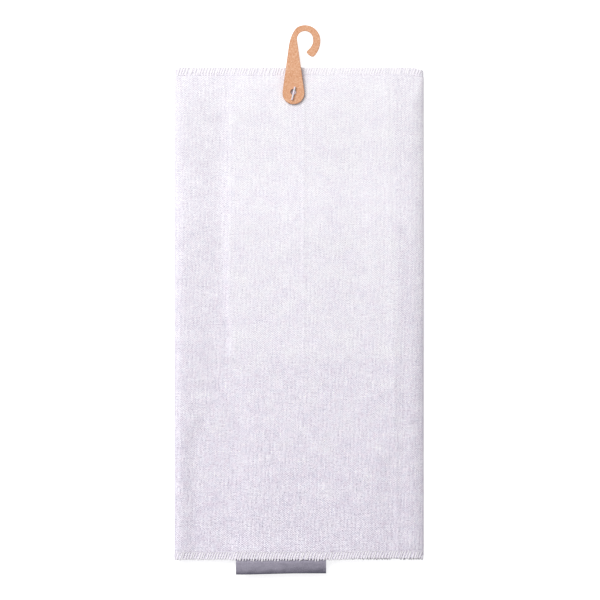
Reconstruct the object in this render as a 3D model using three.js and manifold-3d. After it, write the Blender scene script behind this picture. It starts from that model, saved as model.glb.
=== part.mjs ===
// Cutlery storage bag: a flat pouch of slubby plain-weave cloth. One cloth is wrapped into a
// flattened tube with a fold down each side and a lengthwise seam at the back. The +Y end is
// sewn shut, the -Y end is the mouth. A patch pocket with two slots is sewn inside the back, a
// folded label hangs from the front lip, and a card hook is pinned to the front for hanging.
//
// Millimetres. The bag lies on its back with +Z up, +Y towards the closed end, and its origin
// on the underside of the back, at the middle of the cloth.

import * as THREE from 'three';
import { mergeVertices } from 'three/addons/utils/BufferGeometryUtils.js';
import Module from 'manifold-3d';

// Bag cloth
const BAG_WIDTH = 177;
const BAG_LENGTH = 350;
const CLOTH = 0.8;

// Room between layers of cloth, and between pieces that turn against each other
const LAYER_GAP = 0.1;
const TURN_GAP = 0.3;

// Overlocked edges: the width of the row of thread, its thickness on each face of the cloth,
// and its gap to the cloth
const OVERLOCK_WIDTH = 5.7;
const THREAD = 0.2;
const THREAD_GAP = 0.05;

// Patch pocket: the empty channels left and right of it, its depth from the closed end, the
// slack that lets its slots stand open, and the strips that are sewn flat
const LEFT_CHANNEL = 38;
const RIGHT_CHANNEL = 32.3;
const POCKET_DEPTH = 207.7;
const POCKET_CLOTH = 0.7;
const POCKET_EASE = 5.2;
const POCKET_FLANGE = 3;
const POCKET_SHOULDER = 5;

// Stitch rows that hold the pocket, and how far short of the sewn layers they end
const STITCH_WIDTH = 0.8;
const STITCH_HEIGHT = 0.4;
const STITCH_END = 8;

// Closed end: how its sewn layers are rounded, and over what length the front curves up from it
const SEWN_END_CORNER = 2.5;
const SEWN_END_EDGE = 0.4;
const END_CURVE = 28;

// The shallow part of the bag, which the hook swings over: its height and length, and the slope
// where the front and the pocket's slots come down to it
const SHALLOW_HEIGHT = 4.9;
const SHALLOW_LENGTH = 62;
const SHALLOW_SLOPE = 50;

// Lengthwise back seam: its distance from the pocket at the closed end, how far it leans away
// from it by the mouth, and the size of its seam allowance
const SEAM_TO_POCKET = 4.3;
const SEAM_LEAN = 8.5;
const SEAM_ALLOWANCE = 6;
const SEAM_HEIGHT = 1.8;

// Folded label on the front lip
const LABEL_WIDTH = 64;
const LABEL_OFFSET = -12.8;
const LABEL_REACH = 9.8;
const LABEL_PLY = 0.35;
const LABEL_SLIT = 0.2;
const LABEL_DROP = 0.45;
const LABEL_TOP_ROOT = 0.3;
const LABEL_BOTTOM_ROOT = 1;
const LABEL_TURN_LIFT = 0.3;
const LABEL_TURN_REACH = 0.4;

// Card hook, in its own flat frame: the origin is the middle of its hole, +Y towards the hook
const PIN_OFFSET = -4;
const PIN_INSET = 17.4;
const CARD = 1;
const HOLE_RADIUS = 2.15;
const HEEL_RADIUS = 7.8;
const HEEL_DROP = 0.9;
const CROWN_ACROSS = 8.2;
const CROWN_UP = 36.5;
const EYE_RADIUS = 5.7;
const EYE_LIFT = 1;
const BAND = 5.2;
const CHEEK_RADIUS = 16.3;
const CHEEK_SWEEP = 41.5;
const JAW_RADIUS = 7.7;
const JAW_SWEEP = 45;
const TIP_LENGTH = 3.7;
const TIP_ROUND = 2.6;
const TIP_TURN = 15;
const CROWN_SWEEP = 117;
const CROWN_EASE = 3.5;
const NECK_UP = 32.7;
const NECK_WIDTH = 6.4;
const NECK_EASE = 5;

// Nylon tag pin: crossbar over the card, filament through the hole and the cloth, inner paddle
const CROSSBAR_LENGTH = 9.5;
const CROSSBAR_RADIUS = 0.65;
const CROSSBAR_LEAN = 12.9;
const FILAMENT_RADIUS = 0.3;
const FILAMENT_DROP = 1.1;
const PADDLE_LENGTH = 5;
const PADDLE_WIDTH = 2.2;
const PADDLE_THICKNESS = 0.8;

// Facets
const FOLD_STEPS = 6;
const SLOPE_STEPS = 6;
const SHOULDER_STEPS = 5;
const ARC_STEPS = 10;
const ROUND_SIDES = 12;
const SAME_PLACE = 1e-4;

// Places that several pieces share
const leftX = -BAG_WIDTH / 2;
const rightX = BAG_WIDTH / 2;
const mouthY = -BAG_LENGTH / 2;
const closedY = BAG_LENGTH / 2;
const sewnY = closedY - OVERLOCK_WIDTH;
const sheetEndY = sewnY - TURN_GAP;
const pocketFloor = CLOTH + LAYER_GAP;
const bagHeight = pocketFloor + POCKET_EASE + POCKET_CLOTH + 2 * LAYER_GAP + CLOTH;
const sewnHeight = pocketFloor + POCKET_CLOTH + LAYER_GAP + CLOTH;
const pocketLeft = leftX + LEFT_CHANNEL;
const pocketRight = rightX - RIGHT_CHANNEL;
const pocketMiddle = (pocketLeft + pocketRight) / 2;
const pocketMouthY = closedY - POCKET_DEPTH;
const shallowY = sheetEndY - SHALLOW_LENGTH;
const threadInner = CLOTH + THREAD_GAP + THREAD;
const labelThickness = 2 * LABEL_PLY + LABEL_SLIT;
const cardBottom = SHALLOW_HEIGHT + TURN_GAP;
const pinX = PIN_OFFSET;
const pinY = closedY - PIN_INSET;

const wasm = await Module();
wasm.setup();

const radians = THREE.MathUtils.degToRad;
const smooth = (value) => THREE.MathUtils.smoothstep(value, 0, 1);

// A material of the bag
function finish(color, roughness, metalness = 0) {
  return new THREE.MeshStandardMaterial({ color, roughness, metalness });
}

const clothFinish = finish('#efecf3', 0.95);
const threadFinish = finish('#f5f3f8', 0.85);
const labelFinish = finish('#9892a5', 0.9);
const cardFinish = finish('#e3ad8a', 0.8);
const pinFinish = finish('#f1eef5', 0.4);

function piece(name, geometry, material) {
  const mesh = new THREE.Mesh(geometry, material);
  mesh.name = name;
  return mesh;
}

// A geometry with one vertex at each place, and no faces that have lost their area
function closedGeometry(positions, faces) {
  const loose = new THREE.BufferGeometry();
  loose.setAttribute('position', new THREE.Float32BufferAttribute(positions, 3));
  loose.setIndex(faces);
  const merged = mergeVertices(loose, SAME_PLACE);
  const kept = [];
  const index = merged.index.array;
  for (let k = 0; k < index.length; k += 3) {
    const [a, b, c] = index.slice(k, k + 3);
    if (a !== b && b !== c && c !== a) kept.push(a, b, c);
  }
  merged.setIndex(kept);
  return merged;
}

// Closes the space between two point grids of the same size. The rows follow +Y, and the upper
// grid lies to the left of the columns' direction.
function solidBetween(upper, lower) {
  const rows = upper.length;
  const columns = upper[0].length;
  const positions = [];
  [upper, lower].forEach((grid) => grid.forEach((row) => row.forEach((p) => positions.push(...p))));
  const top = (row, column) => row * columns + column;
  const bottom = (row, column) => rows * columns + top(row, column);
  const faces = [];
  const quad = (a, b, c, d) => faces.push(a, b, c, a, c, d);
  for (let r = 0; r < rows - 1; r += 1) {
    for (let c = 0; c < columns - 1; c += 1) {
      quad(top(r, c), top(r, c + 1), top(r + 1, c + 1), top(r + 1, c));
      quad(bottom(r, c), bottom(r + 1, c), bottom(r + 1, c + 1), bottom(r, c + 1));
    }
    quad(top(r, 0), top(r + 1, 0), bottom(r + 1, 0), bottom(r, 0));
    quad(top(r + 1, columns - 1), top(r, columns - 1), bottom(r, columns - 1), bottom(r + 1, columns - 1));
  }
  for (let c = 0; c < columns - 1; c += 1) {
    quad(top(0, c + 1), top(0, c), bottom(0, c), bottom(0, c + 1));
    quad(top(rows - 1, c), top(rows - 1, c + 1), bottom(rows - 1, c + 1), bottom(rows - 1, c));
  }
  return closedGeometry(positions, faces);
}

// A strip of constant section: the section's corners are given as [y, inset], anticlockwise, and
// path(inset) gives the [x, z] points of the cloth's section at that inset.
function solidAlong(section, path) {
  const rings = section.map(([y, inset]) => path(inset).map(([x, z]) => [x, y, z]));
  const count = rings[0].length;
  const sides = rings.length;
  const positions = rings.flat(2);
  const at = (side, step) => (side % sides) * count + step;
  const faces = [];
  for (let side = 0; side < sides; side += 1) {
    for (let step = 0; step < count - 1; step += 1) {
      const corners = [at(side, step), at(side, step + 1), at(side + 1, step + 1), at(side + 1, step)];
      faces.push(corners[0], corners[1], corners[2], corners[0], corners[2], corners[3]);
    }
  }
  const outline = section.map(([y, inset]) => new THREE.Vector2(y, inset));
  THREE.ShapeUtils.triangulateShape(outline, []).forEach(([a, b, c]) => {
    faces.push(at(a, 0), at(b, 0), at(c, 0));
    faces.push(at(a, count - 1), at(c, count - 1), at(b, count - 1));
  });
  return facingOut(closedGeometry(positions, faces));
}

// Turns a closed geometry's faces to point out, by the sign of its volume
function facingOut(geometry) {
  const index = geometry.index.array;
  const corner = (k) => new THREE.Vector3().fromBufferAttribute(geometry.attributes.position, index[k]);
  let volume = 0;
  for (let k = 0; k < index.length; k += 3) {
    volume += corner(k).dot(corner(k + 1).cross(corner(k + 2)));
  }
  if (volume < 0) {
    for (let k = 0; k < index.length; k += 3) {
      [index[k + 1], index[k + 2]] = [index[k + 2], index[k + 1]];
    }
  }
  return geometry;
}

function toSolid(geometry) {
  const bare = geometry.clone();
  bare.deleteAttribute('normal');
  bare.deleteAttribute('uv');
  const merged = mergeVertices(bare, SAME_PLACE);
  return new wasm.Manifold(new wasm.Mesh({
    numProp: 3,
    vertProperties: new Float32Array(merged.attributes.position.array),
    triVerts: new Uint32Array(merged.index.array),
  }));
}

function fromSolid(solid) {
  const mesh = solid.getMesh();
  const geometry = new THREE.BufferGeometry();
  geometry.setAttribute('position', new THREE.Float32BufferAttribute(mesh.vertProperties, 3));
  geometry.setIndex([...mesh.triVerts]);
  return geometry;
}

// How far down to the shallow part of the bag a place along it is, from 0 to 1
function shallowShare(y) {
  return smooth((y - shallowY + SHALLOW_SLOPE) / SHALLOW_SLOPE);
}

// Height of the flattened bag at a place along it: full, then shallow, then curving down to the
// sewn end
function heightAt(y) {
  const curve = THREE.MathUtils.clamp((sheetEndY - y) / END_CURVE, 0, 1);
  const endDrop = (SHALLOW_HEIGHT - sewnHeight) * (1 - Math.sin((curve * Math.PI) / 2));
  return THREE.MathUtils.lerp(bagHeight, SHALLOW_HEIGHT, shallowShare(y)) - endDrop;
}

// Height of the open slots at a place along the pocket
function easeAt(y) {
  return POCKET_EASE * (1 - shallowShare(y));
}

// The quarter round of a side fold, from the parting at mid-height out to the flat of the cloth.
// The points run from the left parting inwards, for the half above (+1) or below (-1).
function foldQuarter(height, inset, half) {
  const radius = height / 2 - inset;
  const start = Math.asin(TURN_GAP / 2 / radius);
  const points = [];
  for (let k = 0; k <= FOLD_STEPS; k += 1) {
    const turn = THREE.MathUtils.lerp(start, Math.PI / 2, k / FOLD_STEPS);
    const x = leftX + height / 2 - radius * Math.cos(turn);
    points.push([x, height / 2 + half * radius * Math.sin(turn)]);
  }
  return points;
}

function mirrored(points) {
  return points.map(([x, z]) => [-x, z]).reverse();
}

// Half of the tube's section, at an inset from its outer skin: +1 is the front, -1 the back
function tubeHalf(height, inset, half) {
  const quarter = foldQuarter(height, inset, half);
  return [...quarter, ...mirrored(quarter)];
}

// Where the back seam runs at a place along the bag
function seamX(y) {
  return pocketRight + SEAM_TO_POCKET + (SEAM_LEAN * (closedY - y)) / BAG_LENGTH;
}

// Stations along a sheet of the bag: [y, outer inset, inner inset]. The lip is pressed thinner
// on its outer face, so that the row of thread there lies flush.
function lipStations() {
  const edge = mouthY + THREAD + THREAD_GAP;
  const step = mouthY + OVERLOCK_WIDTH;
  const pressed = THREAD + THREAD_GAP;
  return [[edge, pressed, CLOTH], [step, pressed, CLOTH], [step, 0, CLOTH]];
}

// Places down a slope of the given length, which ends at endY
function slopePlaces(endY, length) {
  const places = [];
  for (let k = 0; k <= SLOPE_STEPS; k += 1) {
    places.push(endY - length * (1 - k / SLOPE_STEPS));
  }
  return places;
}

// Places down both slopes of the front
function frontPlaces() {
  return [...slopePlaces(shallowY, SHALLOW_SLOPE), ...slopePlaces(sheetEndY, END_CURVE)];
}

function sheetStations() {
  return [...lipStations(), ...frontPlaces().map((y) => [y, 0, CLOTH])];
}

function frontPanel() {
  const skin = (inset) => sheetStations().map((station) => {
    const [y] = station;
    return tubeHalf(heightAt(y), station[inset], 1).map(([x, z]) => [x, y, z]);
  });
  const sheet = toSolid(solidBetween(skin(1), skin(2)));
  const hole = new THREE.CylinderGeometry(
    FILAMENT_RADIUS + TURN_GAP, FILAMENT_RADIUS + TURN_GAP, 4 * CLOTH, ROUND_SIDES);
  hole.rotateX(Math.PI / 2);
  const filamentY = pinY - FILAMENT_DROP;
  hole.translate(pinX, filamentY, heightAt(filamentY) - CLOTH / 2);
  return fromSolid(sheet.subtract(toSolid(hole)));
}

// Wide part of the back, from the left parting to the back seam
function backPanel() {
  const skin = (inset) => sheetStations().map((station) => {
    const [y] = station;
    const points = foldQuarter(heightAt(y), station[inset], -1);
    points.push([seamX(y) - TURN_GAP / 2, station[inset]]);
    return points.map(([x, z]) => [x, y, z]);
  });
  return solidBetween(skin(2), skin(1));
}

// Narrow part of the back, from the seam round the right fold to its parting
function backReturn() {
  const skin = (inset) => sheetStations().map((station) => {
    const [y] = station;
    const points = mirrored(foldQuarter(heightAt(y), station[inset], -1));
    points.unshift([seamX(y) + TURN_GAP / 2, station[inset]]);
    return points.map(([x, z]) => [x, y, z]);
  });
  return solidBetween(skin(2), skin(1));
}

// Both raw edges of the cloth, overlocked together and pressed to the right over the seam. They
// are squeezed flat where the front curves down to the sewn end.
function backSeam() {
  const floor = CLOTH + LAYER_GAP;
  const places = [mouthY + OVERLOCK_WIDTH + TURN_GAP, ...slopePlaces(sheetEndY, END_CURVE)];
  const level = (height) => places.map((y) => [
    [seamX(y), y, height(y)],
    [seamX(y) + SEAM_ALLOWANCE, y, height(y)],
  ]);
  const top = (y) => Math.min(floor + SEAM_HEIGHT, heightAt(y) - CLOTH - LAYER_GAP);
  return solidBetween(level(top), level(() => floor));
}

// The layers of the closed end, bound together by their overlock
function closingSeam() {
  const inner = SEWN_END_EDGE;
  const corner = SEWN_END_CORNER - inner;
  const x = rightX - inner;
  const top = closedY - inner;
  const shape = new THREE.Shape();
  shape.moveTo(-x, sewnY + inner);
  shape.lineTo(x, sewnY + inner);
  shape.lineTo(x, top - corner);
  shape.absarc(x - corner, top - corner, corner, 0, Math.PI / 2, false);
  shape.lineTo(-x + corner, top);
  shape.absarc(-x + corner, top - corner, corner, Math.PI / 2, Math.PI, false);
  shape.closePath();
  const geometry = new THREE.ExtrudeGeometry(shape, {
    depth: sewnHeight - 2 * inner,
    bevelThickness: inner,
    bevelSize: inner,
    bevelSegments: 2,
    curveSegments: 4,
  });
  geometry.translate(0, 0, inner);
  return geometry;
}

// Section of an overlock: thread on both faces of the cloth and over its edge
function overlockSection(edgeY, innerInset, outerInset) {
  const endY = edgeY + OVERLOCK_WIDTH - THREAD_GAP;
  return [
    [edgeY, outerInset],
    [endY, outerInset],
    [endY, outerInset + THREAD],
    [edgeY + THREAD, outerInset + THREAD],
    [edgeY + THREAD, innerInset - THREAD],
    [endY, innerInset - THREAD],
    [endY, innerInset],
    [edgeY, innerInset],
  ];
}

function lipOverlock(half) {
  return solidAlong(
    overlockSection(mouthY, threadInner, 0), (inset) => tubeHalf(bagHeight, inset, half));
}

// Underside of the pocket across the bag: flat where it is sewn down, raised over each slot
function pocketLine(ease) {
  const slot = [];
  const slotLeft = pocketLeft + POCKET_FLANGE;
  const slotRight = pocketMiddle - POCKET_FLANGE / 2;
  for (let k = 0; k <= SHOULDER_STEPS; k += 1) {
    const share = k / SHOULDER_STEPS;
    slot.push([slotLeft + POCKET_SHOULDER * share, pocketFloor + ease * smooth(share)]);
  }
  for (let k = SHOULDER_STEPS; k >= 0; k -= 1) {
    const share = k / SHOULDER_STEPS;
    slot.push([slotRight - POCKET_SHOULDER * share, pocketFloor + ease * smooth(share)]);
  }
  const left = [[pocketLeft, pocketFloor], ...slot];
  const right = left.map(([x, z]) => [2 * pocketMiddle - x, z]).reverse();
  return [...left, ...right];
}

// The same line moved up square to itself
function pocketLevel(ease, rise) {
  const line = pocketLine(ease);
  return line.map(([x, z], k) => {
    const before = line[Math.max(k - 1, 0)];
    const after = line[Math.min(k + 1, line.length - 1)];
    const along = new THREE.Vector2(after[0] - before[0], after[1] - before[1]).normalize();
    return [x - along.y * rise, z + along.x * rise];
  });
}

function pocketPanel() {
  const edge = pocketMouthY + THREAD + THREAD_GAP;
  const step = pocketMouthY + OVERLOCK_WIDTH;
  const pressed = POCKET_CLOTH - THREAD - THREAD_GAP;
  const stations = [[edge, pressed], [step, pressed], [step, POCKET_CLOTH]];
  slopePlaces(shallowY, SHALLOW_SLOPE).forEach((y) => stations.push([y, POCKET_CLOTH]));
  stations.push([sheetEndY, POCKET_CLOTH]);
  const upper = stations.map(([y, rise]) => pocketLevel(easeAt(y), rise).map(([x, z]) => [x, y, z]));
  const lower = stations.map(([y]) => pocketLevel(easeAt(y), 0).map(([x, z]) => [x, y, z]));
  return solidBetween(upper, lower);
}

// Thread over the pocket's lip: on top of the pressed cloth and down over its edge
function pocketLipOverlock() {
  const endY = pocketMouthY + OVERLOCK_WIDTH - THREAD_GAP;
  const section = [
    [pocketMouthY, 0],
    [pocketMouthY + THREAD, 0],
    [pocketMouthY + THREAD, POCKET_CLOTH - THREAD],
    [endY, POCKET_CLOTH - THREAD],
    [endY, POCKET_CLOTH],
    [pocketMouthY, POCKET_CLOTH],
  ];
  return solidAlong(section, (rise) => pocketLevel(POCKET_EASE, rise));
}

// One row of stitches down a sewn-flat strip of the pocket
function pocketStitches(x) {
  const startY = pocketMouthY + OVERLOCK_WIDTH + LAYER_GAP;
  const endY = sewnY - STITCH_END;
  const bottom = pocketFloor + POCKET_CLOTH + THREAD_GAP;
  const geometry = new THREE.BoxGeometry(STITCH_WIDTH, endY - startY, STITCH_HEIGHT);
  geometry.translate(x, (startY + endY) / 2, bottom + STITCH_HEIGHT / 2);
  return geometry;
}

// Extrudes a [y, z] outline along X, centred on the given x
function extrudeAcross(shape, width, x) {
  const geometry = new THREE.ExtrudeGeometry(shape, {
    depth: width, bevelEnabled: false, curveSegments: ARC_STEPS,
  });
  const turn = new THREE.Matrix4().makeBasis(
    new THREE.Vector3(0, 1, 0), new THREE.Vector3(0, 0, 1), new THREE.Vector3(1, 0, 0));
  geometry.applyMatrix4(turn);
  geometry.translate(x - width / 2, 0, 0);
  return geometry;
}

// The label's loop, drawn from its turning line: two plies joined by a round fold. The roots
// are cut back, the lower one further, so that they clear the lip when the label droops.
function loopLabel() {
  const top = -(LABEL_TURN_LIFT + LABEL_DROP);
  const bottom = top - labelThickness;
  const middle = (top + bottom) / 2;
  const foldY = LABEL_TURN_REACH - LABEL_REACH + labelThickness / 2;
  const shape = new THREE.Shape();
  shape.moveTo(-LABEL_TOP_ROOT, top);
  shape.lineTo(foldY, top);
  shape.absarc(foldY, middle, labelThickness / 2, Math.PI / 2, 1.5 * Math.PI, false);
  shape.lineTo(-LABEL_BOTTOM_ROOT, bottom);
  shape.lineTo(-LABEL_BOTTOM_ROOT, bottom + LABEL_PLY);
  shape.lineTo(foldY, bottom + LABEL_PLY);
  shape.absarc(foldY, middle, LABEL_SLIT / 2, 1.5 * Math.PI, Math.PI / 2, true);
  shape.lineTo(-LABEL_TOP_ROOT, top - LABEL_PLY);
  shape.closePath();
  return extrudeAcross(shape, LABEL_WIDTH, LABEL_OFFSET);
}

// The label's two ends, caught flat under the front lip
function labelTail() {
  const top = bagHeight - threadInner - LAYER_GAP;
  const geometry = new THREE.BoxGeometry(LABEL_WIDTH, OVERLOCK_WIDTH, labelThickness);
  geometry.translate(LABEL_OFFSET, mouthY + OVERLOCK_WIDTH / 2, top - labelThickness / 2);
  return geometry;
}

// Outline of the card hook, counter-clockwise from the right of its round heel
function hookOutline() {
  const heel = new THREE.Vector2(0, -HEEL_DROP);
  const crown = new THREE.Vector2(CROWN_ACROSS, CROWN_UP);
  const eye = new THREE.Vector2(CROWN_ACROSS, CROWN_UP + EYE_LIFT);
  const crownRadius = EYE_RADIUS + BAND;

  // The shank's right edge is the straight line that touches the heel and the eye
  const toEye = eye.clone().sub(heel);
  const cross = Math.asin((HEEL_RADIUS + EYE_RADIUS) / toEye.length());
  const heelTurn = toEye.angle() - Math.PI / 2 + cross;
  const edgeTurn = heelTurn + Math.PI / 2;
  const rightEdge = new THREE.Vector2(
    heel.x + HEEL_RADIUS * Math.cos(heelTurn), heel.y + HEEL_RADIUS * Math.sin(heelTurn));

  // The neck's left corner, and the straight line from it that touches the heel
  const neck = new THREE.Vector2(
    rightEdge.x + (NECK_UP - rightEdge.y) / Math.tan(edgeTurn) - NECK_WIDTH, NECK_UP);
  const toNeck = neck.clone().sub(heel);
  const leftTurn = toNeck.angle() + Math.acos(HEEL_RADIUS / toNeck.length());
  const leftAlong = new THREE.Vector2(Math.sin(leftTurn), -Math.cos(leftTurn)).negate();

  const cheekEnd = radians(CHEEK_SWEEP);
  const cheekX = crown.x + crownRadius - CHEEK_RADIUS;
  const cheek = new THREE.Vector2(
    cheekX + CHEEK_RADIUS * Math.cos(cheekEnd), crown.y - CHEEK_RADIUS * Math.sin(cheekEnd));
  const cheekAlong = new THREE.Vector2(Math.sin(cheekEnd), Math.cos(cheekEnd));

  const jawEnd = radians(JAW_SWEEP);
  const jawX = eye.x + EYE_RADIUS - JAW_RADIUS;
  const jawAlong = new THREE.Vector2(-Math.sin(jawEnd), -Math.cos(jawEnd));
  const tip = new THREE.Vector2(
    jawX + JAW_RADIUS * Math.cos(jawEnd), crown.y - JAW_RADIUS * Math.sin(jawEnd));
  tip.addScaledVector(jawAlong, TIP_LENGTH);
  const tipAcross = new THREE.Vector2(-jawAlong.y, jawAlong.x).rotateAround(
    new THREE.Vector2(), -radians(TIP_TURN));

  const crownEnd = radians(CROWN_SWEEP);
  const shoulder = new THREE.Vector2(
    crown.x + crownRadius * Math.cos(crownEnd), crown.y + crownRadius * Math.sin(crownEnd));
  const shoulderAlong = new THREE.Vector2(-Math.sin(crownEnd), Math.cos(crownEnd));

  const shape = new THREE.Shape();
  shape.moveTo(rightEdge.x, rightEdge.y);
  shape.absarc(eye.x, eye.y, EYE_RADIUS, heelTurn + Math.PI, 0, true);
  shape.absarc(jawX, crown.y, JAW_RADIUS, 0, -jawEnd, true);
  shape.lineTo(tip.x, tip.y);
  shape.bezierCurveTo(
    tip.x + tipAcross.x * TIP_ROUND, tip.y + tipAcross.y * TIP_ROUND,
    cheek.x - cheekAlong.x * TIP_ROUND, cheek.y - cheekAlong.y * TIP_ROUND,
    cheek.x, cheek.y);
  shape.absarc(cheekX, crown.y, CHEEK_RADIUS, -cheekEnd, 0, false);
  shape.absarc(crown.x, crown.y, crownRadius, 0, crownEnd, false);
  shape.bezierCurveTo(
    shoulder.x + shoulderAlong.x * CROWN_EASE, shoulder.y + shoulderAlong.y * CROWN_EASE,
    neck.x - leftAlong.x * NECK_EASE, neck.y - leftAlong.y * NECK_EASE,
    neck.x, neck.y);
  shape.absarc(heel.x, heel.y, HEEL_RADIUS, leftTurn, heelTurn + 2 * Math.PI, false);
  const hole = new THREE.Path();
  hole.absarc(0, 0, HOLE_RADIUS, 0, 2 * Math.PI, true);
  shape.holes.push(hole);
  return shape;
}

function hookCard() {
  return new THREE.ExtrudeGeometry(hookOutline(), {
    depth: CARD, bevelEnabled: false, curveSegments: ARC_STEPS,
  });
}

// One moulding: crossbar, filament and paddle, drawn from the card's top face over its hole
function tagPin() {
  const filamentY = -FILAMENT_DROP;
  const crossbarZ = TURN_GAP + CROSSBAR_RADIUS;
  const crossbar = new THREE.CylinderGeometry(
    CROSSBAR_RADIUS, CROSSBAR_RADIUS, CROSSBAR_LENGTH, ROUND_SIDES);
  crossbar.rotateZ(-radians(CROSSBAR_LEAN));
  crossbar.translate(0, filamentY, crossbarZ);

  const cardTop = cardBottom + CARD;
  const clothUnder = heightAt(pinY + filamentY + PADDLE_WIDTH / 2) - CLOTH;
  const paddleTop = clothUnder - 2 * LAYER_GAP - cardTop;
  const paddle = new THREE.BoxGeometry(PADDLE_LENGTH, PADDLE_WIDTH, PADDLE_THICKNESS);
  paddle.translate(0, filamentY, paddleTop - PADDLE_THICKNESS / 2);

  const filamentBottom = paddleTop - PADDLE_THICKNESS / 2;
  const filament = new THREE.CylinderGeometry(
    FILAMENT_RADIUS, FILAMENT_RADIUS, crossbarZ - filamentBottom, ROUND_SIDES);
  filament.rotateX(Math.PI / 2);
  filament.translate(0, filamentY, (crossbarZ + filamentBottom) / 2);
  return fromSolid(toSolid(crossbar).add(toSolid(filament)).add(toSolid(paddle)));
}

// The back, the sewn end and the pocket, which stay still
const back = new THREE.Group();
back.add(
  piece('back_panel', backPanel(), clothFinish),
  piece('back_return', backReturn(), clothFinish),
  piece('back_seam', backSeam(), threadFinish),
  piece('back_lip_overlock', lipOverlock(-1), threadFinish),
  piece('closing_seam', closingSeam(), threadFinish),
  piece('pocket_panel', pocketPanel(), clothFinish),
  piece('pocket_lip_overlock', pocketLipOverlock(), threadFinish),
  piece('pocket_left_seam', pocketStitches(pocketLeft + POCKET_FLANGE / 2), threadFinish),
  piece('pocket_centre_seam', pocketStitches(pocketMiddle), threadFinish),
  piece('pocket_right_seam', pocketStitches(pocketRight - POCKET_FLANGE / 2), threadFinish),
);

// The front, which lifts about a line at the sewn end
const front = new THREE.Group();
front.add(
  piece('front_panel', frontPanel(), clothFinish),
  piece('front_lip_overlock', lipOverlock(1), threadFinish),
  piece('label_tail', labelTail(), labelFinish),
);

// The label's loop, which flips about a line at the top edge of the front lip
const label = new THREE.Group();
label.position.set(0, mouthY - LABEL_TURN_REACH, bagHeight + LABEL_TURN_LIFT);
label.add(piece('loop_label', loopLabel(), labelFinish));

// The card hook, which swings about its hole, and the pin that holds it
const hook = new THREE.Group();
hook.position.set(pinX, pinY, cardBottom);
hook.add(piece('hook_card', hookCard(), cardFinish));
const pin = new THREE.Group();
pin.position.set(pinX, pinY, cardBottom + CARD);
pin.add(piece('tag_pin', tagPin(), pinFinish));

const bag = new THREE.Group();
bag.add(back, front, label, hook, pin);

export default bag;
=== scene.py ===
import math

import bmesh
import bpy
import numpy as np
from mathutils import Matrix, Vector, noise


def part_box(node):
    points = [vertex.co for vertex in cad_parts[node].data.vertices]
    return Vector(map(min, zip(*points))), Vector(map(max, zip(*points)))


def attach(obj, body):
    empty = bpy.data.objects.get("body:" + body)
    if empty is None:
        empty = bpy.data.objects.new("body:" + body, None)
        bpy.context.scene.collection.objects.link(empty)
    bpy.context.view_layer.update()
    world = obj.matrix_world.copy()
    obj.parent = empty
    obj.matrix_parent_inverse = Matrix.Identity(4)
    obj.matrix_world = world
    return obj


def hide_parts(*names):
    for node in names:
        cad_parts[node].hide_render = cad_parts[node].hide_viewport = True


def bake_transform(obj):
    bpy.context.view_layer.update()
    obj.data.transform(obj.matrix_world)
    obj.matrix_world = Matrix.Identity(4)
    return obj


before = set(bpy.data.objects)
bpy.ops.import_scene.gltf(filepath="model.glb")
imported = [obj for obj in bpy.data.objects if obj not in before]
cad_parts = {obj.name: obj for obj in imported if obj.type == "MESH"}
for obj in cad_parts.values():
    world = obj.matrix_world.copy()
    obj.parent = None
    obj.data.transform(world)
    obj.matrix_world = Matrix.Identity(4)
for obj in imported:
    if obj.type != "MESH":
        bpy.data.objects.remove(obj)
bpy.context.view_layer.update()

# A flat cutlery bag of slubby plain-weave cloth, lying on its back. Metres, +Z up, +Y towards
# the closed end with the card hook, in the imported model's own frame.

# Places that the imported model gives
sewn_low, sewn_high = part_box("closing_seam")
front_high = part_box("front_panel")[1]
pocket_low, pocket_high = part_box("pocket_panel")
allowance_low, allowance_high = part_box("back_seam")
label_low, label_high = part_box("loop_label")
tail_low, tail_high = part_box("label_tail")
row_low, row_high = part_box("pocket_centre_seam")

LEFT, RIGHT = sewn_low.x, sewn_high.x
MOUTH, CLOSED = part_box("front_lip_overlock")[0].y, sewn_high.y
BAG_HEIGHT = front_high.z
SEWN_HEIGHT = sewn_high.z
SHEET_END = front_high.y
OVERLOCK = CLOSED - sewn_low.y
POCKET_LEFT, POCKET_RIGHT = pocket_low.x, pocket_high.x
POCKET_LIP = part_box("pocket_lip_overlock")[0].y
POCKET_FLOOR = pocket_low.z
ALLOWANCE_FLOOR = allowance_low.z
ALLOWANCE_HEIGHT = allowance_high.z - allowance_low.z

# Cloths, the ribbon and the gaps between them
CLOTH = 0.0008
POCKET_CLOTH = 0.0007
RIBBON = 0.0004
LAYER_GAP = 0.0001
TURN_GAP = 0.0003

# The shallow part of the bag, which the hook swings over
SHALLOW_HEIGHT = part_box("hook_card")[0].z - TURN_GAP
SHALLOW_Y = SHEET_END - 0.062
SHALLOW_SLOPE = 0.050  # length over which the front slopes down to it
END_CURVE = 0.028  # and over which it curves down to the closed end
PRESSED_LENGTH = 0.025  # and over which the sewing presses the side folds flat

# Pocket
POCKET_FLANGE = 0.003  # strips that are sewn flat
POCKET_SHOULDER = 0.005  # width over which the slots rise from them
SLOT_HEIGHT = 0.0052  # how high the slots could rise
SLOT_FILL = 0.78  # what share of that they rise
SLOT_WAVES = (0.03, 0.020)  # how much that share varies, and over what size
POCKET_MIDDLE = (POCKET_LEFT + POCKET_RIGHT) / 2
STITCH_ROWS = {
    "pocket_left_seam": POCKET_LEFT + POCKET_FLANGE / 2,
    "pocket_centre_seam": POCKET_MIDDLE,
    "pocket_right_seam": POCKET_RIGHT - POCKET_FLANGE / 2,
}
ROW_PITCH = 0.0030  # length of their stitches
ROW_THREAD = (0.00050, 0.00036)

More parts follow.
